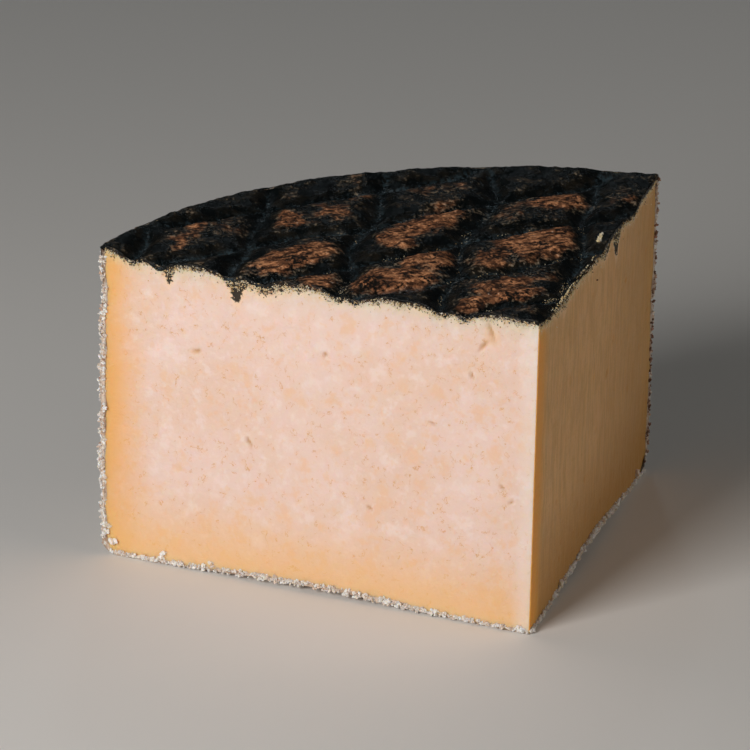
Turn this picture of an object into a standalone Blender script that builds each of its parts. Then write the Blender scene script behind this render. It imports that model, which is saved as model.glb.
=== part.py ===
"""A wedge, a little under a quarter, cut from a small drum-shaped wheel of smoked hard cheese.

It lies on its base as it was cut. +Z is up, the tip (the wheel's centre) points to -Y, the rind
faces +Y, and the origin is on the resting surface, under the middle of the wedge's box.
One solid: the rack marks on the smoked top, the lumpy rind and the curled lower edges are its relief.
"""

import math

import bmesh
import bpy
from mathutils import Vector, noise

# Driving dimensions, in metres, and angles in degrees
WHEEL_RADIUS = 0.130
WHEEL_HEIGHT = 0.0914
WEDGE_ANGLE = 82.9
TIP_Y = -WHEEL_RADIUS / 2

# The smoked top: a raised lip at the rim, a shallow dish, and the smoking rack's marks
LIP_DROP = 0.0014
LIP_WIDTH = 0.008
DISH_DEPTH = 0.0009
ROW_SPACING = 0.025
ROW_START = 0.018
ROW_SLOPE = 0.12
SLANT_SPACING = 0.030
SLANT_START = 0.003
SLANT_ANGLE = 57.0
GROOVE_DEPTH = 0.0016
GROOVE_WIDTH = 0.0034
GROOVE_WANDER = 0.0035
WANDER_SCALE = 0.022
PEBBLE_HEIGHT = 0.0006
PEBBLE_SCALE = 0.0055

# The rind: lumps, and the lower rim's rounding, which grows from the left corner to the right
LUMP_HEIGHT = 0.0008
LUMP_SCALE = 0.0075
ROUNDING_LEFT = 0.0045
ROUNDING_RIGHT = 0.0085

# The underside: flat, but curled up along the middle of both cuts and a little behind the chord
# between its two rim corners, so that it rests on its tip and those corners
CURL_LEFT = 0.0017
CURL_RIGHT = 0.0028
CURL_REACH = 0.026
CURL_START = 0.08
CHORD_SHARE = 0.725
CHORD_SLOPE = 0.022

# The cut faces: a hand-drawn knife's slight unevenness
KNIFE_WAVE = 0.0004
KNIFE_WAVE_SCALE = 0.019
TIP_STRAIGHT = 0.018

# Mesh spacing
TOP_CELL = 0.0030
RIND_CELL = 0.0038
CUT_CELL = 0.0062
SPARE = 0.012

HALF_ANGLE = math.radians(WEDGE_ANGLE / 2)


def clear_scene():
    for item in list(bpy.data.objects):
        bpy.data.objects.remove(item, do_unlink=True)


def new_collection(name):
    collection = bpy.data.collections.new(name)
    bpy.context.scene.collection.children.link(collection)
    return collection


def new_material(name, colour, roughness):
    material = bpy.data.materials.new(name)
    material.use_nodes = True
    shader = material.node_tree.nodes["Principled BSDF"]
    shader.inputs["Base Color"].default_value = (*colour, 1.0)
    shader.inputs["Roughness"].default_value = roughness
    shader.inputs["Metallic"].default_value = 0.0
    material.diffuse_color = (*colour, 1.0)
    return material


def smooth_step(edge, value):
    """0 at nought, 1 from the edge on, with an even slope between."""
    t = min(max(value / edge, 0.0), 1.0)
    return t * t * (3.0 - 2.0 * t)


def bumps(scale, x, y, z=0.0):
    """Even, seedless noise from -1 to 1 with lumps of about this scale."""
    return noise.noise(Vector((x, y, z)) / scale)


def line_distance(value, start, spacing):
    """Distance to the nearest of a row of evenly spaced lines."""
    step = (value - start) / spacing
    return abs(step - round(step)) * spacing


def rack_groove(x, r_y):
    """How deep in a rack mark a point of the top lies, from 0 on an island to 1."""
    wander_x = GROOVE_WANDER * bumps(WANDER_SCALE, x, r_y, 0.11)
    wander_y = GROOVE_WANDER * bumps(WANDER_SCALE, x, r_y, 0.37)
    slant = math.radians(SLANT_ANGLE)
    slanted = x * math.sin(slant) - r_y * math.cos(slant) + wander_x
    row = line_distance(r_y - ROW_SLOPE * x + wander_y, ROW_START, ROW_SPACING)
    column = line_distance(slanted, SLANT_START, SLANT_SPACING)
    return max(math.exp(-((row / GROOVE_WIDTH) ** 2)), math.exp(-((column / GROOVE_WIDTH) ** 2)))


def top_height(x, y):
    """Height of the smoked top over a point of the plan."""
    r_y = y - TIP_Y
    radius = math.hypot(x, r_y)
    from_rim = WHEEL_RADIUS - radius
    dish = DISH_DEPTH * math.sin(math.pi * min(radius / WHEEL_RADIUS, 1.0))
    level = WHEEL_HEIGHT - LIP_DROP * smooth_step(LIP_WIDTH, from_rim) - dish
    inside = smooth_step(LIP_WIDTH, from_rim)
    pebbles = PEBBLE_HEIGHT * bumps(PEBBLE_SCALE, x, r_y, 0.7)
    return level + inside * (pebbles - GROOVE_DEPTH * rack_groove(x, r_y) + GROOVE_DEPTH / 3)


def base_height(x, y):
    """Height of the underside: nought where it rests, more at the cuts and behind the chord."""
    r_y = y - TIP_Y
    lift = CHORD_SLOPE * max(r_y - CHORD_SHARE * WHEEL_RADIUS, 0.0)
    for side, curl in ((-1.0, CURL_LEFT), (1.0, CURL_RIGHT)):
        along = side * x * math.sin(HALF_ANGLE) + r_y * math.cos(HALF_ANGLE)
        away = r_y * math.sin(HALF_ANGLE) - side * x * math.cos(HALF_ANGLE)
        share = (along / WHEEL_RADIUS - CURL_START) / (1.0 - 2.0 * CURL_START)
        hump = math.sin(math.pi * min(max(share, 0.0), 1.0)) ** 1.5
        edge = max(0.0, 1.0 - max(away, 0.0) / CURL_REACH) ** 2
        lift = max(lift, curl * hump * edge)
    return lift


def finish_mesh(name, mesh_tools, collection):
    """Turns a bmesh into an object, its faces outwards."""
    bmesh.ops.recalc_face_normals(mesh_tools, faces=mesh_tools.faces)
    mesh = bpy.data.meshes.new(name)
    mesh_tools.to_mesh(mesh)
    mesh_tools.free()
    item = bpy.data.objects.new(name, mesh)
    collection.objects.link(item)
    return item


def relief_slab(collection):
    """A slab as thick as the wheel, its top and underside shaped, its sides cut away later."""
    width = 2.0 * (WHEEL_RADIUS * math.sin(HALF_ANGLE) + SPARE)
    depth = WHEEL_RADIUS + 2.0 * SPARE
    tools = bmesh.new()
    bmesh.ops.create_grid(
        tools, x_segments=round(width / TOP_CELL), y_segments=round(depth / TOP_CELL), size=0.5
    )
    bmesh.ops.scale(tools, vec=(width, depth, 1.0), verts=tools.verts)
    base = list(tools.verts)
    raised = bmesh.ops.extrude_face_region(tools, geom=list(tools.faces), use_keep_orig=True)
    top = [part for part in raised["geom"] if isinstance(part, bmesh.types.BMVert)]
    for vert in base:
        vert.co.z = base_height(vert.co.x, vert.co.y)
    for vert in top:
        vert.co.z = top_height(vert.co.x, vert.co.y)
    return finish_mesh("smoked_cheese_wedge", tools, collection)


def rind_radius(angle, height):
    """Distance of the rind from the wheel's axis: lumpy, and rounded at the lower rim."""
    share = min(max(angle / HALF_ANGLE, -1.0), 1.0) / 2.0 + 0.5
    rounding = ROUNDING_LEFT + (ROUNDING_RIGHT - ROUNDING_LEFT) * share
    arc = angle * WHEEL_RADIUS
    lumps = bumps(LUMP_SCALE, arc, height) + 0.5 * bumps(LUMP_SCALE / 2.2, arc, height, 0.4)
    radius = WHEEL_RADIUS + LUMP_HEIGHT * lumps
    if height < rounding:
        short = rounding - max(height, 0.0)
        radius -= rounding - math.sqrt(rounding * rounding - short * short)
    return radius


def rind_drum(collection):
    """The whole wheel's drum, which trims the slab to the rind. Its ends pass the slab's faces."""
    rows = round(WHEEL_HEIGHT / RIND_CELL)
    heights = [-SPARE] + [row * WHEEL_HEIGHT / rows for row in range(rows + 1)]
    heights.append(WHEEL_HEIGHT + SPARE)
    profile = bmesh.new()
    points = [profile.verts.new((0.0, 0.0, heights[-1]))]
    points += [profile.verts.new((WHEEL_RADIUS, 0.0, height)) for height in reversed(heights)]
    points.append(profile.verts.new((0.0, 0.0, heights[0])))
    for upper, lower in zip(points, points[1:]):
        profile.edges.new((upper, lower))
    steps = round(2.0 * math.pi * WHEEL_RADIUS / RIND_CELL)
    bmesh.ops.spin(
        profile, geom=profile.verts[:] + profile.edges[:], cent=(0.0, 0.0, 0.0),
        axis=(0.0, 0.0, 1.0), angle=2.0 * math.pi, steps=steps, use_merge=True,
    )
    bmesh.ops.remove_doubles(profile, verts=profile.verts, dist=0.00001)
    for vert in profile.verts:
        if math.hypot(vert.co.x, vert.co.y) > WHEEL_RADIUS / 2:
            angle = math.atan2(vert.co.x, vert.co.y)
            radius = rind_radius(angle, vert.co.z)
            vert.co.x = radius * math.sin(angle)
            vert.co.y = radius * math.cos(angle)
    bmesh.ops.translate(profile, vec=(0.0, TIP_Y, 0.0), verts=profile.verts)
    return finish_mesh("rind_drum", profile, collection)


def knife_prism(collection):
    """A three-cornered prism whose two near sides are the knife's cuts."""
    reach = WHEEL_RADIUS + 2.0 * SPARE
    height = WHEEL_HEIGHT + 2.0 * SPARE
    tools = bmesh.new()
    bmesh.ops.create_cone(tools, cap_ends=True, segments=3, radius1=1.0, radius2=1.0, depth=height)
    corners = ((0.0, 0.0), (-1.0, 1.0), (1.0, 1.0))
    ring = sorted(tools.verts, key=lambda vert: (vert.co.z, math.atan2(vert.co.y, vert.co.x)))
    for place, vert in enumerate(ring):
        side, far = corners[place % 3]
        vert.co.x = side * reach * math.tan(HALF_ANGLE)
        vert.co.y = TIP_Y + far * reach
        vert.co.z += WHEEL_HEIGHT / 2
    cuts = round(reach / math.cos(HALF_ANGLE) / CUT_CELL)
    bmesh.ops.subdivide_edges(tools, edges=tools.edges[:], cuts=cuts, use_grid_fill=True)
    for vert in tools.verts:
        r_y = vert.co.y - TIP_Y
        side = math.copysign(1.0, vert.co.x)
        if abs(abs(vert.co.x) - r_y * math.tan(HALF_ANGLE)) < 1e-5 and r_y > 1e-5:
            wave = KNIFE_WAVE * bumps(KNIFE_WAVE_SCALE, side * r_y, vert.co.z, side)
            wave *= smooth_step(TIP_STRAIGHT, r_y)
            vert.co.x += side * wave * math.cos(HALF_ANGLE)
            vert.co.y -= wave * math.sin(HALF_ANGLE)
    return finish_mesh("knife_prism", tools, collection)


def keep_inside(item, cutter):
    """Keeps only what lies inside the cutter, and shows the cutter as a guide."""
    trim = item.modifiers.new("keep_inside_" + cutter.name, "BOOLEAN")
    trim.operation = "INTERSECT"
    trim.solver = "EXACT"
    trim.object = cutter
    cutter.hide_render = True
    cutter.display_type = "WIRE"


def build():
    clear_scene()
    parts = new_collection("smoked_cheese")
    cutters = new_collection("cutters")
    wedge = relief_slab(parts)
    keep_inside(wedge, rind_drum(cutters))
    keep_inside(wedge, knife_prism(cutters))
    wedge.data.materials.append(new_material("cheese_paste", (0.78, 0.57, 0.46), 0.55))


build()
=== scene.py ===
import math
import random

import bmesh
import bpy
from mathutils import Matrix, Vector, noise


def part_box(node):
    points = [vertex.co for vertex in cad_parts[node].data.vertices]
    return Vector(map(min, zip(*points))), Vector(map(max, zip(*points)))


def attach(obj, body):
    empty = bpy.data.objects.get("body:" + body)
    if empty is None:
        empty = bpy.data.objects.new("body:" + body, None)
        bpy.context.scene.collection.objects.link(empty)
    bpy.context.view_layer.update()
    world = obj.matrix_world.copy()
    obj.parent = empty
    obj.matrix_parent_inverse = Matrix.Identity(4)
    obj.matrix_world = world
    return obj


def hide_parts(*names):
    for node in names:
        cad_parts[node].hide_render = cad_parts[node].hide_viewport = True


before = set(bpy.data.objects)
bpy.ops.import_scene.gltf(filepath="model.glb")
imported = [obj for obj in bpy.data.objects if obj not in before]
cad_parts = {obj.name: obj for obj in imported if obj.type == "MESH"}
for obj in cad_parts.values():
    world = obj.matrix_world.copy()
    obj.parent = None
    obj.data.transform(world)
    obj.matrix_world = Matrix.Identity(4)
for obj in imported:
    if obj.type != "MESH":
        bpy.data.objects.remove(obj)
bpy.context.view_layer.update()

# The paste: the pale inside of the wheel, a dense, fine-grained smoked curd.
# Two knife cuts show it. It is amber near the rind and the base, and crumbles along the black top.
# The wheel's axis stands at the wedge's tip, half the wheel's radius in front of the frame's origin.
lowest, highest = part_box("smoked_cheese_wedge")
TIP_Y = lowest[1]
WHEEL_RADIUS = -2.0 * TIP_Y
WHEEL_HEIGHT = highest[2]
HALF_ANGLE = math.radians(82.9 / 2)
PASTE_CELL = 0.00056
LEFT, RIGHT = -1.0, 1.0


def bumps(scale, x, y, z=0.0):
    """Even, seedless noise from -1 to 1 with lumps of about this scale."""
    return noise.noise(Vector((x, y, z)) / scale)


def smooth_step(edge, value):
    """0 at nought, 1 from the edge on, with an even slope between."""
    t = min(max(value / edge, 0.0), 1.0)
    return t * t * (3.0 - 2.0 * t)


def line_distance(value, start, spacing):
    """How far a value lies from the nearest of evenly spaced lines."""
    step = (value - start) / spacing
    return abs(step - round(step)) * spacing


# The smoking rack's marks: two families of shallow grooves, one across and one on the slant
GROOVE_WIDTH = 0.0034
GROOVE_DEPTH = 0.0016
ROW_START, ROW_SPACING, ROW_SLOPE = 0.018, 0.025, 0.12
SLANT_START, SLANT_SPACING, SLANT = 0.003, 0.030, math.radians(57.0)
WANDER, WANDER_SPAN = 0.0035, 0.022


def rack_groove(x, r_y, width=GROOVE_WIDTH):
    """How deep in one of the smoking rack's marks a point of the top lies, from 0 to 1."""
    wander_x = WANDER * bumps(WANDER_SPAN, x, r_y, 0.11)
    wander_y = WANDER * bumps(WANDER_SPAN, x, r_y, 0.37)
    slanted = x * math.sin(SLANT) - r_y * math.cos(SLANT) + wander_x
    row = line_distance(r_y - ROW_SLOPE * x + wander_y, ROW_START, ROW_SPACING)
    column = line_distance(slanted, SLANT_START, SLANT_SPACING)
    return max(math.exp(-((row / width) ** 2)), math.exp(-((column / width) ** 2)))


LIP_WIDTH, LIP_DROP = 0.008, 0.0014
DISH_DEPTH = 0.0009
PEBBLE_HEIGHT, PEBBLE_SPAN = 0.0006, 0.0055


def top_height(x, y):
    """Height of the smoked top: a lip at the rim, a shallow dish, pebbles and rack marks."""
    r_y = y - TIP_Y
    radius = math.hypot(x, r_y)
    inside = smooth_step(LIP_WIDTH, WHEEL_RADIUS - radius)
    dish = DISH_DEPTH * math.sin(math.pi * min(radius / WHEEL_RADIUS, 1.0))
    level = WHEEL_HEIGHT - LIP_DROP * inside - dish
    pebbles = PEBBLE_HEIGHT * bumps(PEBBLE_SPAN, x, r_y, 0.7)
    return level + inside * (pebbles - GROOVE_DEPTH * rack_groove(x, r_y) + GROOVE_DEPTH / 3)


CHORD_SHARE, CHORD_SLOPE = 0.725, 0.022
CURLS = ((LEFT, 0.0017), (RIGHT, 0.0028))
CURL_START, CURL_REACH = 0.08, 0.026


def base_height(x, y):
    """Height of the underside: flat, but curled up at both cuts and behind the rim's chord."""
    r_y = y - TIP_Y
    lift = CHORD_SLOPE * max(r_y - CHORD_SHARE * WHEEL_RADIUS, 0.0)
    for side, curl in CURLS:
        along = side * x * math.sin(HALF_ANGLE) + r_y * math.cos(HALF_ANGLE)
        away = r_y * math.sin(HALF_ANGLE) - side * x * math.cos(HALF_ANGLE)
        share = (along / WHEEL_RADIUS - CURL_START) / (1.0 - 2.0 * CURL_START)
        hump = math.sin(math.pi * min(max(share, 0.0), 1.0)) ** 1.5
        lift = max(lift, curl * hump * max(0.0, 1.0 - max(away, 0.0) / CURL_REACH) ** 2)
    return lift


def on_cut(side, along, proud=0.0):
    """The plan point this far from the tip along a cut, and this proud of its face."""
    x = side * (along * math.sin(HALF_ANGLE) + proud * math.cos(HALF_ANGLE))
    y = TIP_Y + along * math.cos(HALF_ANGLE) - proud * math.sin(HALF_ANGLE)
    return x, y


# Holes, cracks and torn notches: side, distance from the tip, height, half length, half width, lean
FLAWS = (
    (LEFT, 0.1005, 0.0650, 0.0011, 0.0006, -0.5), (LEFT, 0.0845, 0.0410, 0.0016, 0.0005, 1.1),
    (LEFT, 0.0138, 0.0850, 0.0026, 0.0006, 1.25), (LEFT, 0.0160, 0.0805, 0.0018, 0.0005, -0.9),
    (LEFT, 0.0190, 0.0715, 0.0012, 0.0003, 1.4), (LEFT, 0.0092, 0.0410, 0.0009, 0.0004, 0.8),
    (LEFT, 0.0066, 0.0372, 0.0007, 0.0004, 2.4), (LEFT, 0.0300, 0.0560, 0.0010, 0.0003, 0.2),
    (LEFT, 0.0620, 0.0705, 0.0008, 0.0003, 2.0), (LEFT, 0.0480, 0.0280, 0.0009, 0.0003, 0.9),
    (RIGHT, 0.0350, 0.0610, 0.0015, 0.0004, 1.5), (RIGHT, 0.0780, 0.0480, 0.0012, 0.0005, 1.1),
    (RIGHT, 0.0960, 0.0700, 0.0009, 0.0005, 0.3), (RIGHT, 0.0560, 0.0240, 0.0013, 0.0004, 1.8),
)
FLAW_DEPTH = 0.0008
FLAW_REACH = 0.004
# Where the smoke ran down into the paste: side, distance from the tip, half width, depth
NOTCHES = (
    (LEFT, 0.1090, 0.0016, 0.0040), (LEFT, 0.0885, 0.0024, 0.0062), (LEFT, 0.0790, 0.0060, 0.0026),
    (RIGHT, 0.0830, 0.0030, 0.0070), (RIGHT, 0.0710, 0.0040, 0.0030), (RIGHT, 0.0260, 0.0040, 0.0022),
)


def smoke_reach(side, along):
    """How far down from the black top the smoke has stained a cut, in metres."""
    reach = 0.0009 + 0.0006 * bumps(0.004, along, side, 0.2) + 0.0004 * bumps(0.0012, along, side, 0.9)
    for where, centre, half, depth in NOTCHES:
        if where == side:
            reach += depth * math.exp(-(((along - centre) / half) ** 2))
    return reach


def flaw_depth(side, along, height):
    """How deep a cut is torn or cracked at a point, in metres."""
    depth = 0.0
    for where, s, z, half_length, half_width, lean in FLAWS:
        if where == side and abs(along - s) < FLAW_REACH and abs(height - z) < FLAW_REACH:
            wobble = 0.0004 * bumps(0.0012, along, height, 0.5)
            u = (along - s) * math.cos(lean) + (height - z) * math.sin(lean)
            v = (height - z) * math.cos(lean) - (along - s) * math.sin(lean) + wobble
            spread = max(half_width, 0.0004)
            depth = max(depth, FLAW_DEPTH * math.exp(-((u / half_length) ** 2) - (v / spread) ** 2))
    return depth


KNIFE_WAVE, KNIFE_SPAN = 0.0004, 0.019
TIP_STRAIGHT = 0.018
CRUMBLE_REACH = 0.0019


def cut_relief(side, along, height, below_top):
    """How proud the paste stands of its flat cut: knife waves, grain, crumble and flaws."""
    key = side * along
    wave = KNIFE_WAVE * bumps(KNIFE_SPAN, key, height, side) * smooth_step(TIP_STRAIGHT, along)
    grain = 0.00010 * bumps(0.0035, key, height, 0.3) + 0.00008 * bumps(0.0013, key, height, 0.6)
    if side == RIGHT:
        grain += 0.00012 * bumps(0.0014, key, height * 0.16, 0.6)
    crumble = 0.00055 * bumps(0.0011, key, height, 0.8) + 0.0004 * bumps(0.0024, key, height, 0.1)
    near_top = math.exp(-max(below_top, 0.0) / CRUMBLE_REACH)
    pit = max(bumps(0.0028, key, height, 4.4 + side) - 0.62, 0.0) * 0.0016
    return wave + grain + near_top * crumble - pit - flaw_depth(side, along, height)


def finish_piece(name, work, smooth=True):
    """Turns a bmesh into a shown object at the origin, its faces outwards."""
    bmesh.ops.recalc_face_normals(work, faces=work.faces)
    mesh = bpy.data.meshes.new(name)
    work.to_mesh(mesh)
    work.free()
    for face in mesh.polygons:
        face.use_smooth = smooth
    piece = bpy.data.objects.new(name, mesh)
    bpy.context.scene.collection.objects.link(piece)
    return piece


CAP_SHRINK = 0.93
CAP_LIFT = 0.002


def sink_cap(work, rim_edges):
    """Closes a hidden opening with a face set inwards, its ring lifted clear for the caller to lower."""
    ring = bmesh.ops.extrude_edge_only(work, edges=rim_edges)["geom"]
    verts = [part for part in ring if isinstance(part, bmesh.types.BMVert)]
    inner = set(verts)
    edges = [part for part in ring if isinstance(part, bmesh.types.BMEdge) and inner.issuperset(part.verts)]
    middle = Vector((0.0, sum(vert.co.y for vert in verts) / len(verts), 0.0))
    bmesh.ops.scale(work, verts=verts, vec=(CAP_SHRINK, CAP_SHRINK, 1.0), space=Matrix.Translation(-middle))
    bmesh.ops.translate(work, verts=verts, vec=(0.0, 0.0, CAP_LIFT))
    bmesh.ops.contextual_create(work, geom=edges)
    return verts


ROUNDING_LEFT, ROUNDING_RIGHT = 0.0045, 0.0085
LUMP_HEIGHT = 0.0008


def rind_radius(angle, height):
    """Distance of the rind from the wheel's axis: lumpy, and rounded at the lower rim."""
    share = min(max(angle / HALF_ANGLE, -1.0), 1.0) / 2.0 + 0.5
    rounding = ROUNDING_LEFT + (ROUNDING_RIGHT - ROUNDING_LEFT) * share
    arc = angle * WHEEL_RADIUS
    lumps = bumps(0.0075, arc, height) + 0.7 * bumps(0.0034, arc, height, 0.4)
    radius = WHEEL_RADIUS + LUMP_HEIGHT * lumps
    if height < rounding:
        short = rounding - max(height, 0.0)
        radius -= rounding - math.sqrt(rounding * rounding - short * short)
    fine = 0.00035 * bumps(0.0016, arc, height, 0.2) + 0.00018 * bumps(0.0007, arc, height, 0.8)
    return radius + fine


CRUST_DEPTH = 0.0009
BEND_START = WHEEL_RADIUS - 0.014
ARC_STEPS = 90
BED_GAP, SKIN_GAP = 0.0004, 0.0005


def paste_mesh():
    """The plan's outline stacked in fine rows, its two cuts given their relief."""
    work = bmesh.new()
    side_of = work.verts.layers.float.new("side")
    along_of = work.verts.layers.float.new("along")
    below_of = work.verts.layers.float.new("below_top")
    flaw_of = work.verts.layers.float.new("flaw")
    reach = WHEEL_RADIUS - CRUST_DEPTH
    count = round(reach / PASTE_CELL)
    plan = [(LEFT, reach * (1.0 - step / count)) for step in range(count)]
    plan += [(RIGHT, reach * step / count) for step in range(count + 1)]
    ring = [work.verts.new((*on_cut(side, along), 0.0)) for side, along in plan]
    for vert, (side, along) in zip(ring, plan):
        vert[side_of] = side
        vert[along_of] = along
    for step in range(1, ARC_STEPS):
        angle = HALF_ANGLE * (1.0 - 2.0 * step / ARC_STEPS)
        ring.append(work.verts.new((reach * math.sin(angle), TIP_Y + reach * math.cos(angle), 0.0)))
        ring[-1][along_of] = reach
    edges = [work.edges.new(pair) for pair in zip(ring, ring[1:] + ring[:1])]
    rows = round(WHEEL_HEIGHT / PASTE_CELL)
    bmesh.ops.contextual_create(work, geom=edges)
    stacked = bmesh.ops.spin(
        work, geom=ring + edges, cent=(0.0, 0.0, 0.0), axis=(0.0, 0.0, 1.0), angle=0.0,
        dvec=(0.0, 0.0, WHEEL_HEIGHT / rows), steps=rows,
    )
    last = [part for part in stacked["geom_last"] if isinstance(part, bmesh.types.BMEdge)]
    sink_cap(work, last)
    for vert in work.verts:
        if vert.co.z > WHEEL_HEIGHT + CAP_LIFT / 2.0:
            vert.co.z -= 6.0 * CAP_LIFT
            continue
        x, y, share = vert.co.x, vert.co.y, vert.co.z / WHEEL_HEIGHT
        lower = base_height(x, y) + BED_GAP
        upper = top_height(x, y) - SKIN_GAP
        height = lower + (upper - lower) * share
        below = top_height(x, y) - height
        side, along = vert[side_of], vert[along_of]
        angle = math.atan2(x, y - TIP_Y) if along else 0.0
        limit = min(rind_radius(angle, height - lower), WHEEL_RADIUS) - CRUST_DEPTH
        if along > BEND_START:
            along = BEND_START + (along - BEND_START) * (limit - BEND_START) / (reach - BEND_START)
            x, y = along * math.sin(angle), TIP_Y + along * math.cos(angle)
            vert[along_of] = along
        if side:
            vert[flaw_of] = flaw_depth(side, along, height) / FLAW_DEPTH
            proud = cut_relief(side, along, height, below) if along else 0.0
            x, y = on_cut(side, along, proud)
        vert.co = (x, y, height)
        vert[below_of] = below - (smoke_reach(side, along) if side else 0.0)
    return work


class Value:
    """A shader socket that adds, multiplies and compares like a number."""

    def __init__(self, tree, socket=None):
        self.tree = tree
        self.socket = socket

    def node(self, kind, inputs=(), out=0, stops=(), **settings):
        """A new node: its settings and ramp stops first, then its sockets' values or links."""
        made = self.tree.nodes.new("ShaderNode" + kind)
        for name, setting in settings.items():
            setattr(made, name, setting)
        for place, (position, colour) in enumerate(stops):
            ramp = made.color_ramp.elements
            stop = ramp[place] if place < 2 else ramp.new(position)
            stop.position = position
            stop.color = (*colour, 1.0)
        for name, value in dict(inputs).items():
            if isinstance(value, Value):
                self.tree.links.new(value.socket, made.inputs[name])
            else:
                made.inputs[name].default_value = value
        return Value(self.tree, made.outputs[out])

    def maths(self, operation, *values, **settings):
        """A Math node on these numbers and sockets."""
        return self.node("Math", enumerate(values), operation=operation, **settings)

    def __add__(self, other):
        return self.maths("ADD", self, other)

    def __sub__(self, other):
        return self.maths("SUBTRACT", self, other)

    def __mul__(self, other):
        return self.maths("MULTIPLY", self, other)

    def __rsub__(self, other):
        return self.maths("SUBTRACT", other, self)

    __radd__ = __add__
    __rmul__ = __mul__

    def rise(self, low, high):
        """0 up to low and 1 from high on, or the other way round where low is the larger."""
        return self.node(
            "MapRange", {0: self, 1: low, 2: high, 3: 0.0, 4: 1.0}, interpolation_type="SMOOTHSTEP"
        )

    def capped(self):
        """This value held between 0 and 1."""
        return self.maths("ADD", self, 0.0, use_clamp=True)

    def mix(self, first, second):
        """The first colour where this is 0, the second where it is 1."""
        return self.node("Mix", {0: self, 6: first, 7: second}, out=2, data_type="RGBA")


def colour(*linear):
    return (*linear, 1.0)


def new_finish(name, **constants):
    """A material, its shader with these constants, and a Value to write its pattern with."""
    material = bpy.data.materials.new(name)
    material.use_nodes = True
    tree = material.node_tree
    shader = tree.nodes["Principled BSDF"]
    for key, value in constants.items():
        shader.inputs[key.replace("_", " ").title().replace("Ior", "IOR")].default_value = value
    return material, shader, Value(tree)


def place_of(start):
    """The point on the piece, in its own coordinates."""
    return start.node("TexCoord", out="Object")


def grain_at(start, place, scale, detail=2.0, roughness=0.5):
    """Cloudy noise from 0 to 1 at this place, its patches about 1 / scale metres wide."""
    return start.node(
        "TexNoise", {"Vector": place, "Scale": scale, "Detail": detail, "Roughness": roughness}
    )


def attribute(start, name):
    """A layer that the piece's mesh carries."""
    return start.node("Attribute", out="Fac", attribute_name=name)


def drive(shader, name, value):
    value.tree.links.new(value.socket, shader.inputs[name])


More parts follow.
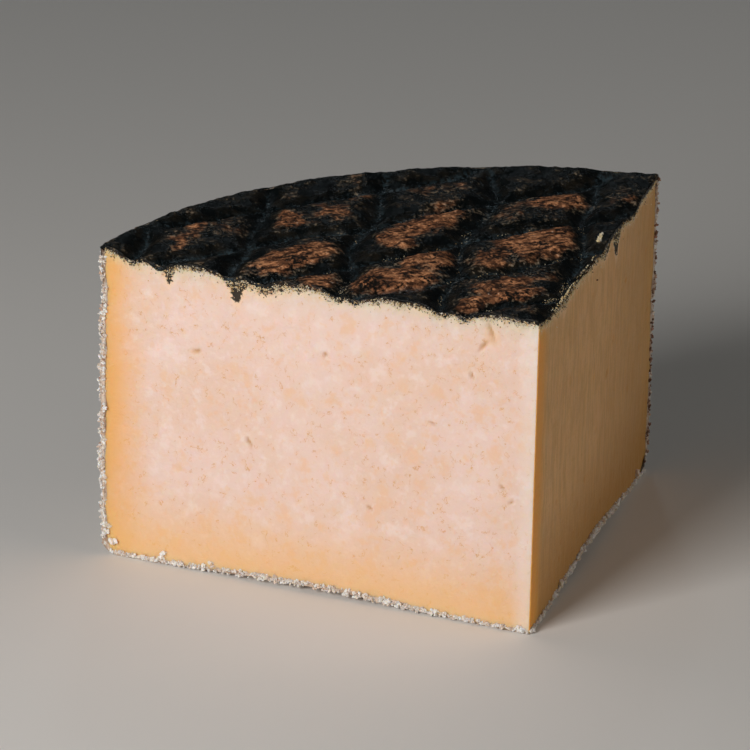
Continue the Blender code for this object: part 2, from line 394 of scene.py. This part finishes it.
def paste_finish():
    material, shader, start = new_finish(
        "cut_paste", roughness=0.55, subsurface_weight=0.70, subsurface_scale=0.0030,
        subsurface_radius=(1.0, 0.60, 0.32), specular_ior_level=0.3,
    )
    place = place_of(start)
    below = attribute(start, "below_top")
    along = attribute(start, "along")
    side = attribute(start, "side")
    height = start.node("SeparateXYZ", {0: place}, out=2)
    cloud = grain_at(start, place, 55.0, 3.0)
    speck = grain_at(start, place, 420.0, 2.0)
    crumb = grain_at(start, place, 1300.0, 2.0)
    curd = grain_at(start, place, 150.0, 4.0, 0.62)
    drawn = start.node("Mapping", {"Vector": place, "Scale": (1.0, 1.0, 0.14)})
    streak = grain_at(start, drawn, 620.0, 3.0, 0.6)
    # the curd: pale peach with paler and ochre specks, and thin seams between its lumps
    pale, peach, ochre = colour(0.84, 0.635, 0.555), colour(0.82, 0.60, 0.49), colour(0.84, 0.55, 0.36)
    smudge, milky, bright = colour(0.84, 0.56, 0.385), colour(0.87, 0.70, 0.64), colour(0.88, 0.71, 0.65)
    paste = cloud.rise(0.38, 0.66).mix(pale, peach)
    paste = (curd.rise(0.53, 0.66) * 0.75).mix(paste, smudge)
    paste = (curd.rise(0.46, 0.33) * 0.75).mix(paste, milky)
    paste = (speck.rise(0.56, 0.72) * 0.45).mix(paste, ochre)
    paste = (speck.rise(0.42, 0.28) * 0.4).mix(paste, bright)
    offset = curd - 0.5
    seams = offset.maths("ABSOLUTE", offset).rise(0.011, 0.002) * speck.rise(0.50, 0.62)
    paste = (seams * 0.85).mix(paste, colour(0.70, 0.39, 0.18))
    # amber towards the rind and the base, and a painted highlight: a whitish strip down the near edge of
    # the left cut
    wander = cloud * 0.012 - 0.006
    to_rind = (WHEEL_RADIUS - along) + wander
    deep = to_rind.rise(0.017, 0.001) * 0.95
    paste = deep.capped().mix(paste, colour(0.84, 0.44, 0.14))
    low = (height + wander).rise(0.026, 0.0) * 0.78
    paste = low.capped().mix(paste, colour(0.85, 0.50, 0.19))
    # painted highlight: the left cut whitened along the near edge
    edge = along.rise(0.0065, 0.002) * side.rise(0.0, -0.8) * 0.5
    paste = edge.mix(paste, colour(0.86, 0.73, 0.66))
    # the right cut: a streaky brown, partly the drier colour of an older cut and partly painted shade,
    # darker towards the rind and the bottom; a painted orange glow along the near edge
    right_cut = side.rise(-0.2, 0.6)
    dry_shade_and_glow = streak.rise(0.35, 0.65).mix(colour(0.60, 0.325, 0.115), colour(0.74, 0.42, 0.17))
    dry_shade_and_glow = (along.rise(0.060, 0.125) * 0.6).mix(dry_shade_and_glow, colour(0.48, 0.25, 0.070))
    dry_shade_and_glow = (height.rise(0.036, 0.003) * 0.8).mix(dry_shade_and_glow, colour(0.44, 0.205, 0.040))
    # painted glow: orange along the near edge of the right cut, where light would shine through the paste
    dry_shade_and_glow = along.rise(0.003, 0.012).mix(colour(0.84, 0.36, 0.045), dry_shade_and_glow)
    paste = (right_cut * 0.92).mix(paste, dry_shade_and_glow)
    # under the black top: a creamy yellow band with burnt specks, then the smoke's own stain
    yellow = (below + crumb * 0.004 + speck * 0.003).rise(0.0075, 0.0026) * 0.8
    paste = yellow.mix(paste, colour(0.93, 0.66, 0.42))
    burnt = (below + crumb * 0.003 + curd * 0.005).rise(0.0054, 0.0034) * crumb.rise(0.48, 0.60) * 0.6
    paste = burnt.mix(paste, colour(0.66, 0.32, 0.11))
    # painted shade: the holes and cracks darkened to brown
    paste = (attribute(start, "flaw") * 0.9).capped().mix(paste, colour(0.60, 0.30, 0.10))
    stain = (below + (crumb - 0.5) * 0.0060 + (speck - 0.5) * 0.0040).rise(0.0007, -0.0003)
    paste = stain.mix(paste, colour(0.036, 0.024, 0.013))
    drive(shader, "Base Color", paste)
    relief = crumb * 0.5 + grain_at(start, place, 620.0, 3.0, 0.6) + curd * 0.8 + streak * right_cut * 1.2
    drive(shader, "Normal", start.node("Bump", {"Height": relief, "Strength": 0.5, "Distance": 0.0005}))
    return material


paste = finish_piece("cut_paste", paste_mesh())
paste.data.materials.append(paste_finish())
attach(paste, "root")
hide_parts("smoked_cheese_wedge")

# The smoked top: the wheel's upper skin, blackened and glossy from the smoke.
# Where the rack let the smoke past, rust-brown islands stand between its grooves.
TOP_CELL = 0.00062
# The islands: x, distance in front of the tip, half length, half width, lean in degrees, strength
RUST = (
    (-0.063, 0.096, 0.0065, 0.0035, 45, 0.48), (-0.054, 0.106, 0.0060, 0.0032, 50, 0.55),
    (-0.045, 0.102, 0.0090, 0.0065, 20, 0.28), (-0.027, 0.101, 0.0065, 0.0045, 60, 0.75),
    (-0.014, 0.104, 0.0085, 0.0055, 45, 0.42), (-0.020, 0.088, 0.0085, 0.0036, 10, 0.42),
    (-0.040, 0.072, 0.0145, 0.0058, 25, 0.88), (0.008, 0.087, 0.0165, 0.0066, 35, 0.85),
    (-0.007, 0.076, 0.0055, 0.0058, 0, 0.75), (0.001, 0.115, 0.0055, 0.0060, 0, 0.38),
    (0.050, 0.089, 0.0095, 0.0068, -10, 0.80), (0.031, 0.088, 0.0085, 0.0070, 0, 0.30),
    (0.029, 0.060, 0.0150, 0.0100, 35, 0.80), (0.012, 0.053, 0.0085, 0.0052, 50, 0.72),
    (-0.004, 0.058, 0.0095, 0.0066, 15, 0.88), (-0.022, 0.047, 0.0130, 0.0078, -5, 0.98),
    (-0.040, 0.053, 0.0075, 0.0050, 10, 0.50), (0.000, 0.023, 0.0105, 0.0030, 5, 1.10),
    (-0.011, 0.020, 0.0060, 0.0030, 30, 0.75), (0.004, 0.031, 0.0100, 0.0040, 10, 0.72),
    (-0.007, 0.040, 0.0045, 0.0050, 0, 0.50), (0.020, 0.034, 0.0080, 0.0042, 0, 0.35),
    (0.069, 0.086, 0.0060, 0.0048, 50, 0.36), (0.022, 0.112, 0.0110, 0.0050, 20, 0.25),
)


ISLAND_REACH = 0.03


def rust_at(x, r_y):
    """How rusty the smoked skin is at a plan point, from 0 to about 1."""
    shift_x = 0.0022 * bumps(0.006, x, r_y, 0.5) + 0.0012 * bumps(0.0022, x, r_y, 0.2)
    shift_y = 0.0022 * bumps(0.006, x, r_y, 1.5) + 0.0012 * bumps(0.0022, x, r_y, 1.2)
    rust = 0.0
    for centre_x, centre_y, half_length, half_width, lean, strength in RUST:
        dx = x + shift_x - centre_x
        dy = r_y + shift_y - centre_y
        if max(abs(dx), abs(dy)) < ISLAND_REACH:
            turn = math.radians(lean)
            u = (dx * math.cos(turn) + dy * math.sin(turn)) / half_length
            v = (dy * math.cos(turn) - dx * math.sin(turn)) / half_width
            rust = max(rust, strength * math.exp(-((u * u + v * v) ** 1.6) * 0.8))
    return rust


def skin_relief(x, r_y, rust, groove):
    """The fine relief on the smoked skin: crazed grain, fibres and swollen islands."""
    grain = 0.00020 * bumps(0.0021, x, r_y, 0.3) + 0.00013 * bumps(0.0009, x, r_y, 0.9)
    fibre = 0.00016 * noise.noise(Vector((x * 180.0 + r_y * 60.0, r_y * 900.0 - x * 190.0, 0.4)))
    crease = 0.00045 * abs(bumps(0.0065, x, r_y, 2.2)) + 0.0003 * abs(bumps(0.0030, x, r_y, 5.2))
    return grain + fibre + crease - 0.0002 + 0.0005 * min(rust, 1.0) - 0.0004 * groove


CORE_WIDTH, CORE_DEPTH = 0.0011, 0.0004
RIM_ROUND, RIM_DROP = 0.0016, 0.0006
HEM_STEPS = (0.35, 0.65, 1.0)
LINING_DROP = 0.008


def top_mesh():
    """One spoke of the top spun over the wedge, hemmed down over the paste and closed below."""
    work = bmesh.new()
    rust_of = work.verts.layers.float.new("rust")
    groove_of = work.verts.layers.float.new("groove")
    core_of = work.verts.layers.float.new("core")
    hem_of = work.verts.layers.float.new("hem")
    rim = WHEEL_RADIUS + 0.0002
    count = round(rim / TOP_CELL)
    overhang = 0.00025 / rim
    start_angle = HALF_ANGLE + overhang
    spoke = []
    for step in range(count + 1):
        radius = rim * step / count
        angle = start_angle
        spoke.append(work.verts.new((radius * math.sin(angle), radius * math.cos(angle), 0.0)))
    edges = [work.edges.new(pair) for pair in zip(spoke, spoke[1:])]
    turns = round(2.0 * start_angle * rim / TOP_CELL)
    bmesh.ops.spin(
        work, geom=spoke + edges, cent=(0.0, 0.0, 0.0), axis=(0.0, 0.0, 1.0),
        angle=2.0 * start_angle, steps=turns,
    )
    bmesh.ops.remove_doubles(work, verts=work.verts, dist=0.000002)
    hem = [edge for edge in work.edges if edge.is_boundary]
    for depth in HEM_STEPS:
        lower = bmesh.ops.extrude_edge_only(work, edges=hem)["geom"]
        hem = [part for part in lower if isinstance(part, bmesh.types.BMEdge)]
        hem = [edge for edge in hem if edge.is_boundary]
        for vert in {vert for edge in hem for vert in edge.verts}:
            vert[hem_of] = depth
    sunk = set(sink_cap(work, hem))
    for vert in work.verts:
        if vert in sunk:
            vert.co.y += TIP_Y
            vert.co.z = WHEEL_HEIGHT - LINING_DROP
            continue
        x, r_y, depth = vert.co.x, vert.co.y, vert[hem_of]
        groove = rack_groove(x, r_y)
        rust = rust_at(x, r_y)
        vert[rust_of] = rust
        vert[groove_of] = groove
        from_rim = WHEEL_RADIUS - math.hypot(x, r_y)
        core = rack_groove(x, r_y, CORE_WIDTH) * smooth_step(0.004, from_rim)
        vert[core_of] = core
        height = top_height(x, r_y + TIP_Y) + skin_relief(x, r_y, rust, groove) - CORE_DEPTH * core
        rim_round = max(math.hypot(x, r_y) - (rim - RIM_ROUND), 0.0) / RIM_ROUND
        height -= RIM_DROP * rim_round ** 2
        ragged = 0.0010 + 0.0007 * bumps(0.0014, x, r_y, 0.2) + 0.0004 * bumps(0.0035, x, r_y, 0.6)
        inwards = 1.0 - 0.00035 * depth / max(math.hypot(x, r_y), 0.004)
        vert.co = (x * inwards, r_y * inwards + TIP_Y, height - depth * ragged)
    return work


def top_finish():
    material, shader, start = new_finish("smoked_skin", specular_ior_level=0.13)
    place = place_of(start)
    rust = attribute(start, "rust")
    groove = attribute(start, "groove")
    grain_turn = {"Vector": place, "Rotation": (0.0, 0.0, -0.2), "Scale": (1.0, 2.4, 2.0)}
    fibres = start.node("Mapping", grain_turn)
    fibre = grain_at(start, fibres, 260.0, 4.0, 0.62)
    core = attribute(start, "core")
    speckle = grain_at(start, place, 900.0, 3.0, 0.65)
    blotch = grain_at(start, place, 190.0, 3.0, 0.6)
    drift = grain_at(start, place, 75.0, 3.0, 0.6)
    black = blotch.rise(0.40, 0.72).mix(colour(0.0022, 0.0034, 0.0036), colour(0.014, 0.011, 0.007))
    brown = fibre.rise(0.36, 0.62).mix(colour(0.040, 0.018, 0.011), colour(0.37, 0.150, 0.068))
    bright = (fibre * 0.5 + speckle * 0.5 + (drift - 0.5) * 0.35).rise(0.50, 0.64)
    brown = bright.mix(brown, colour(0.78, 0.36, 0.17))
    sunk = (speckle * 0.6 + blotch * 0.4 + (drift - 0.5) * 0.4).rise(0.49, 0.41)
    brown = sunk.mix(brown, colour(0.010, 0.008, 0.006))
    raw = rust * 1.35 + (blotch - 0.5) * 1.5 + (speckle - 0.5) * 0.9 + (drift - 0.5) * 0.6 - groove * 0.45
    cover = raw.rise(0.15, 0.80)
    skin = cover.mix(black, brown)
    glint = core * (speckle * 0.6 + blotch * 0.4).rise(0.45, 0.58)
    skin = (glint * 0.9).capped().mix(skin, colour(0.034, 0.056, 0.068))
    rim = raw.rise(0.02, 0.25) * raw.rise(0.75, 0.40) * (speckle * 0.7 + fibre * 0.3).rise(0.50, 0.62)
    skin = (rim * 0.75).mix(skin, colour(0.24, 0.19, 0.13))
    pale = (speckle * 0.75 + blotch * 0.25).rise(0.62, 0.69) * (rust * 0.9 + 0.12).capped()
    skin = (pale * 0.85).mix(skin, colour(0.72, 0.60, 0.50))
    drive(shader, "Base Color", skin)
    drive(shader, "Roughness", (0.28 + cover * 0.34 + (blotch - 0.5) * 0.3 - core * 0.10).capped())
    relief = speckle * 0.6 + fibre * 0.8 + blotch
    drive(shader, "Normal", start.node("Bump", {"Height": relief, "Strength": 0.8, "Distance": 0.0007}))
    return material


top = finish_piece("smoked_top", top_mesh())
top.data.materials.append(top_finish())
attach(top, "root")

# The crust: the wheel's side rind and the underside, one dry, lumpy, whitish skin.
# It shows as a frayed band along the outer and lower edges of both cuts.
CRUST_CELL = 0.00078
WALL_THICK, BED_THICK = 0.0014, 0.0011
TOP_GAP = 0.0009
CURL_FADE = 0.012
SPOKES = 44
LINING_ROWS = 30


def crust_mesh():
    """An L-shaped section, wall and floor, spun over the wedge and closed at both cuts."""
    work = bmesh.new()
    kind_of = work.verts.layers.int.new("kind")
    WALL, FLOOR, LINING, BED = 1, 2, 3, 4
    rows = round(WHEEL_HEIGHT / CRUST_CELL)
    section = [(WALL, WHEEL_RADIUS, WHEEL_HEIGHT * row / rows) for row in range(rows, -1, -1)]
    section += [(FLOOR, (WHEEL_RADIUS - 0.008) * step / SPOKES, 0.0) for step in range(SPOKES, -1, -1)]
    section += [(BED, (WHEEL_RADIUS - 0.003) * step / SPOKES, 0.0) for step in range(0, SPOKES + 1)]
    section += [
        (LINING, WHEEL_RADIUS, WHEEL_HEIGHT * (row + 1) / (LINING_ROWS + 1)) for row in range(LINING_ROWS)
    ]
    verts = []
    for kind, radius, height in section:
        verts.append(work.verts.new((radius, 0.0, height)))
        verts[-1][kind_of] = kind
    edges = [work.edges.new(pair) for pair in zip(verts, verts[1:] + verts[:1])]
    start_angle = HALF_ANGLE + 0.00022 / WHEEL_RADIUS
    bmesh.ops.rotate(
        work, verts=verts, cent=(0.0, 0.0, 0.0),
        matrix=Matrix.Rotation(math.pi / 2 - start_angle, 3, "Z"),
    )
    turns = round(2.0 * start_angle * WHEEL_RADIUS / CRUST_CELL)
    bmesh.ops.contextual_create(work, geom=edges)
    spun = bmesh.ops.spin(
        work, geom=verts + edges, cent=(0.0, 0.0, 0.0), axis=(0.0, 0.0, 1.0),
        angle=2.0 * start_angle, steps=turns,
    )
    last = [part for part in spun["geom_last"] if isinstance(part, bmesh.types.BMEdge)]
    bmesh.ops.contextual_create(work, geom=last)
    for vert in work.verts:
        kind, height = vert[kind_of], vert.co.z
        flat = math.hypot(vert.co.x, vert.co.y)
        angle = math.atan2(vert.co.x, vert.co.y) if flat > 1e-6 else 0.0
        arc = angle * WHEEL_RADIUS
        if kind == WALL:
            flat = rind_radius(angle, height)
            height = min(height, WHEEL_HEIGHT - TOP_GAP)
        if kind == LINING:
            thick = WALL_THICK + 0.0006 * bumps(0.0030, arc, height, 0.3)
            thick += 0.0004 * bumps(0.0012, arc, height, 0.5)
            flat = min(rind_radius(angle, height), WHEEL_RADIUS) - thick
        x, y = flat * math.sin(angle), TIP_Y + flat * math.cos(angle)
        ripple = 0.00025 * bumps(0.0040, x, y, 0.6) + 0.00018 * bumps(0.0015, x, y, 0.2)
        if kind == FLOOR:
            height = base_height(x, y) + max(ripple, 0.0)
        if kind == BED:
            thick = BED_THICK + 0.0005 * bumps(0.0026, x, y, 0.7) + 0.0003 * bumps(0.0011, x, y, 0.2)
            height = base_height(x, y) + thick
        if kind == WALL and vert.co.z < CURL_FADE:
            height = max(height, 0.0) + base_height(x, y) * (1.0 - vert.co.z / CURL_FADE)
        vert.co = (x, y, height)
    bmesh.ops.remove_doubles(work, verts=work.verts, dist=0.000002)
    return work


def crust_finish():
    material, shader, start = new_finish(
        "lumpy_crust", roughness=0.85, subsurface_weight=0.15, subsurface_scale=0.002,
        subsurface_radius=(1.0, 0.6, 0.4), specular_ior_level=0.25,
    )
    place = place_of(start)
    height = start.node("SeparateXYZ", {0: place}, out=2)
    cloud = grain_at(start, place, 45.0, 4.0, 0.6)
    lump = grain_at(start, place, 210.0, 3.0, 0.6)
    fine = grain_at(start, place, 900.0, 3.0, 0.65)
    rind = lump.rise(0.38, 0.58).mix(colour(0.50, 0.34, 0.24), colour(0.74, 0.61, 0.50))
    rind = fine.rise(0.58, 0.70).mix(rind, colour(0.84, 0.78, 0.68))
    rind = (fine.rise(0.42, 0.30) * 0.7).mix(rind, colour(0.32, 0.17, 0.10))
    rind = (cloud.rise(0.50, 0.74) * 0.5).mix(rind, colour(0.50, 0.29, 0.18))
    smoke = (height + (cloud - 0.5) * 0.016 + (lump - 0.5) * 0.006).rise(0.0865, 0.0925)
    rind = smoke.mix(rind, colour(0.012, 0.010, 0.008))
    drive(shader, "Base Color", rind)
    relief = lump + fine * 0.7
    drive(shader, "Normal", start.node("Bump", {"Height": relief, "Strength": 0.7, "Distance": 0.0008}))
    return material


crust = finish_piece("rind_crust", crust_mesh())
crust.data.materials.append(crust_finish())
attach(crust, "root")

# Crumbs: grains of curd and of crust that the knife tore loose along the edges of both cuts.
# They cling where they broke: along the black top, in its marks, at the rind's edge and the base's hem.
random.seed(7)


def crumb_template(name, squash, subdivisions):
    work = bmesh.new()
    bmesh.ops.create_icosphere(work, subdivisions=subdivisions, radius=1.0)
    for vert in work.verts:
        vert.co *= 1.0 + 0.9 * bumps(0.8, *vert.co) + 0.5 * bumps(0.35, *vert.co)
        vert.co.z *= squash
    mesh = bpy.data.meshes.new(name)
    work.to_mesh(mesh)
    work.free()
    return mesh


def random_axis():
    return Vector((random.gauss(0.0, 1.0), random.gauss(0.0, 1.0), random.gauss(0.0, 1.0))).normalized()


def scatter(name, template, spots):
    """One joined mesh of crumbs: each spot is a place, a size and a tone from 0 to 1."""
    work = bmesh.new()
    tone_of = work.verts.layers.float.new("tone")
    for place, size, tone in spots:
        turn = Matrix.Rotation(random.uniform(0.0, 6.28), 4, random_axis())
        length, thickness = size * random.uniform(0.7, 1.4), size * random.uniform(0.7, 1.2)
        shape = Matrix.Diagonal((length, size, thickness, 1.0))
        put = Matrix.Translation(place) @ turn @ shape
        before = len(work.verts)
        crumb = template.copy()
        crumb.transform(put)
        work.from_mesh(crumb)
        bpy.data.meshes.remove(crumb)
        work.verts.ensure_lookup_table()
        for vert in work.verts[before:]:
            vert[tone_of] = tone
    return finish_piece(name, work, smooth=False)


def top_edge_spots(count):
    """Grains along the black top's edge, thick at the edge and thinning below it."""
    spots = []
    for _ in range(count):
        side = random.choice((LEFT, LEFT, RIGHT))
        along = random.uniform(0.001, WHEEL_RADIUS - 0.001)
        clumps = 0.5 + 0.5 * bumps(0.0035, along, side, 3.3)
        below = 0.0005 + random.expovariate(1.0 / (0.0003 + 0.0006 * clumps))
        below += 0.5 * smoke_reach(side, along) * random.random()
        size = random.uniform(0.00009, 0.00024)
        x, y = on_cut(side, along)
        height = top_height(x, y) - below
        x, y = on_cut(side, along, cut_relief(side, along, height, below) + 0.3 * size)
        dark = 0.60 if below < 0.0013 else 0.15
        tone = random.uniform(0.0, 0.25) if random.random() < dark else random.uniform(0.45, 1.0)
        spots.append(((x, y, height), size, tone))
    return spots


def frayed_spots(count):
    """Pale grains along the right cut's upper edge near the tip, where the skin has frayed."""
    spots = []
    for _ in range(count):
        x, y = on_cut(RIGHT, random.triangular(0.010, 0.062, 0.030), random.uniform(-0.0006, 0.0002))
        size = random.uniform(0.00010, 0.00026)
        height = top_height(x, y) + random.uniform(-0.0009, 0.0001)
        spots.append(((x, y, height), size, random.uniform(0.42, 0.9)))
    return spots


FLAKE_X, FLAKE_R_Y = 0.047, 0.057
FLAKE_ALONG = (0.57, 0.82)


def flake_spots(count):
    """A loose pale flake that lies on the top by the right cut, about 5 mm long."""
    spots = []
    for _ in range(count):
        shift = random.uniform(-0.0025, 0.0025)
        x, y = FLAKE_X + shift * FLAKE_ALONG[0], FLAKE_R_Y + TIP_Y + shift * FLAKE_ALONG[1]
        x += random.uniform(-0.0005, 0.0005)
        height = top_height(x, y) + 0.0001
        spots.append(((x, y, height), random.uniform(0.0002, 0.0005), random.uniform(0.6, 1.0)))
    return spots


FLECK_WIDTH = 0.0016
FLECK_LEAST = 0.62


def fleck_spots(tries):
    """Fine pale flecks along the rack marks nearer to the tip, in patches: partly lifted skin, partly
    painted glints.
    """
    spots = []
    for _ in range(tries):
        angle = random.uniform(-0.95, 0.95) * HALF_ANGLE
        radius = random.uniform(0.012, 0.085)
        x, r_y = radius * math.sin(angle), radius * math.cos(angle)
        bare = 0.5 + 0.9 * bumps(0.009, x, r_y, 6.1) + 0.5 * bumps(0.0025, x, r_y, 2.1)
        if rack_groove(x, r_y, FLECK_WIDTH) * bare > FLECK_LEAST:
            y = r_y + TIP_Y
            height = top_height(x, y) + random.uniform(-0.0004, 0.0)
            spots.append(((x, y, height), random.uniform(0.00004, 0.00012), random.uniform(0.42, 0.85)))
    return spots


def crumb_finish(name, stops):
    material, shader, start = new_finish(
        name, roughness=0.7, subsurface_weight=0.3, subsurface_scale=0.002,
        subsurface_radius=(1.0, 0.6, 0.3), specular_ior_level=0.3,
    )
    tone = attribute(start, "tone")
    drive(shader, "Base Color", start.node("ValToRGB", {0: tone}, stops=stops))
    return material


grain = crumb_template("grain", 0.8, 1)
top_spots = top_edge_spots(4200) + frayed_spots(150) + flake_spots(30) + fleck_spots(9000)
top_crumbs = scatter("top_edge_crumbs", grain, top_spots)
top_crumbs.data.materials.append(crumb_finish("torn_curd", (
    (0.0, (0.012, 0.010, 0.008)), (0.40, (0.10, 0.05, 0.02)), (0.50, (0.70, 0.42, 0.16)),
    (0.75, (0.85, 0.70, 0.42)), (1.0, (0.88, 0.78, 0.62)),
)))
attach(top_crumbs, "root")


# Larger lumps and hanging flakes of the hem: side, distance from the tip, height, size, tone
FLAKES = (
    (LEFT, 0.1110, 0.0022, 0.0010, 0.95), (LEFT, 0.1103, 0.0034, 0.0008, 0.90),
    (LEFT, 0.0955, 0.0030, 0.0011, 0.70), (LEFT, 0.1285, 0.0066, 0.0013, 0.92),
    (LEFT, 0.1278, 0.0085, 0.0009, 0.80), (LEFT, 0.1262, 0.0040, 0.0011, 0.85),
    (LEFT, 0.0420, 0.0018, 0.0008, 0.90), (LEFT, 0.0030, 0.0014, 0.0008, 0.85),
    (RIGHT, 0.0310, 0.0026, 0.0010, 0.75), (RIGHT, 0.0720, 0.0030, 0.0010, 0.65),
    (RIGHT, 0.1010, 0.0024, 0.0011, 0.70), (RIGHT, 0.1180, 0.0030, 0.0010, 0.60),
)


def hem_spots(count):
    """The flakes, then grains along the frayed base and up the rind's edge of both cuts."""
    spots = [((*on_cut(side, along), height), size, tone) for side, along, height, size, tone in FLAKES]
    for _ in range(count):
        side = random.choice((LEFT, RIGHT))
        size = random.uniform(0.00020, 0.00060)
        if random.random() < 0.6:
            along = random.uniform(0.0005, WHEEL_RADIUS - 0.003)
            x, y = on_cut(side, along, random.uniform(-0.0004, 0.0005))
            height = base_height(x, y) + random.uniform(-0.0003, 0.0013)
            height = max(height, size * 1.7)
            tone = random.uniform(0.2, 1.0) ** 0.5
        else:
            height = random.uniform(0.003, WHEEL_HEIGHT - 0.0015)
            edge = rind_radius(side * HALF_ANGLE, height)
            along = edge - random.uniform(-0.0003, 0.0014)
            x, y = on_cut(side, along, random.uniform(-0.0004, 0.0004))
            # painted shade: the grains up the right cut's rind edge are darker than the left's
            tone = random.uniform(0.0, 1.0) ** (0.45 if side == LEFT else 1.6)
        spots.append(((x, y, height), size, tone))
    return spots


flake = crumb_template("flake", 0.8, 2)
hem_crumbs = scatter("crust_crumbs", flake, hem_spots(2200))
hem_crumbs.data.materials.append(crumb_finish("torn_crust", (
    (0.0, (0.13, 0.060, 0.035)), (0.25, (0.48, 0.29, 0.21)), (0.5, (0.74, 0.59, 0.49)),
    (0.8, (0.86, 0.79, 0.71)), (1.0, (0.94, 0.92, 0.88)),
)))
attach(hem_crumbs, "root")

# The studio: a plain pale floor, a soft key lamp on the left, a weak fill and a cool back light.
# The camera stands where the photograph's did, low and in front of the tip's left.
floor_work = bmesh.new()
bmesh.ops.create_grid(floor_work, x_segments=1, y_segments=1, size=6.0)
floor = finish_piece("floor", floor_work)
FLOOR_PALE = colour(0.80, 0.785, 0.76)
floor_material = new_finish("pale_floor", roughness=0.8, base_color=FLOOR_PALE)[0]
floor.data.materials.append(floor_material)


AIM_HEIGHT = 0.045


def lamp(name, direction, distance, size, power, tint):
    """A square soft lamp that shines on the wedge's middle from this direction."""
    light = bpy.data.lights.new(name, "AREA")
    light.energy = power
    light.color = tint
    light.size = size
    item = bpy.data.objects.new(name, light)
    towards = Vector(direction).normalized()
    item.location = Vector((0.0, 0.0, AIM_HEIGHT)) + towards * distance
    item.rotation_euler = towards.to_track_quat("Z", "Y").to_euler()
    bpy.context.scene.collection.objects.link(item)


lamp("key", (-0.86, -0.42, 0.42), 1.1, 0.50, 9.7, (1.0, 0.975, 0.95))
lamp("sheen", (0.35, 0.85, 0.70), 1.4, 0.10, 0.40, (0.78, 0.92, 1.0))
lamp("fill", (0.80, -0.60, 0.35), 1.8, 1.4, 6.5, (1.0, 0.92, 0.82))
world = bpy.data.worlds.new("studio")
world.use_nodes = True
background = world.node_tree.nodes["Background"]
background.inputs["Color"].default_value = colour(0.90, 0.96, 1.0)
background.inputs["Strength"].default_value = 0.03
bpy.context.scene.world = world
bpy.context.scene.view_settings.view_transform = "Standard"


def aim(azimuth, elevation, roll, pan, tilt, distance, focal):
    """A camera turned about the wedge's near edge, then panned, tilted and rolled in place."""
    level = math.cos(elevation)
    back = Vector((math.sin(azimuth) * level, -math.cos(azimuth) * level, math.sin(elevation)))
    right = Vector((math.cos(azimuth), math.sin(azimuth), 0.0))
    up = back.cross(right)
    panned = back * math.cos(pan) + right * math.sin(pan)
    across = right * math.cos(pan) - back * math.sin(pan)
    tilted = panned * math.cos(tilt) - up * math.sin(tilt)
    rise = up * math.cos(tilt) + panned * math.sin(tilt)
    image_right = across * math.cos(roll) + rise * math.sin(roll)
    image_up = rise * math.cos(roll) - across * math.sin(roll)
    camera = bpy.data.objects.new("camera", bpy.data.cameras.new("camera"))
    place = Matrix((image_right, image_up, tilted)).transposed().to_4x4()
    place.translation = Vector((0.0, TIP_Y, WHEEL_HEIGHT / 2)) + back * distance
    camera.matrix_world = place
    camera.data.sensor_width = 36.0
    camera.data.lens = focal
    camera.data.clip_end = 30.0
    bpy.context.scene.collection.objects.link(camera)
    bpy.context.scene.camera = camera


aim(
    azimuth=math.radians(-26.93), elevation=math.radians(21.66), roll=math.radians(1.88),
    pan=math.radians(1.92), tilt=math.radians(1.15), distance=1.30, focal=233.2,
)
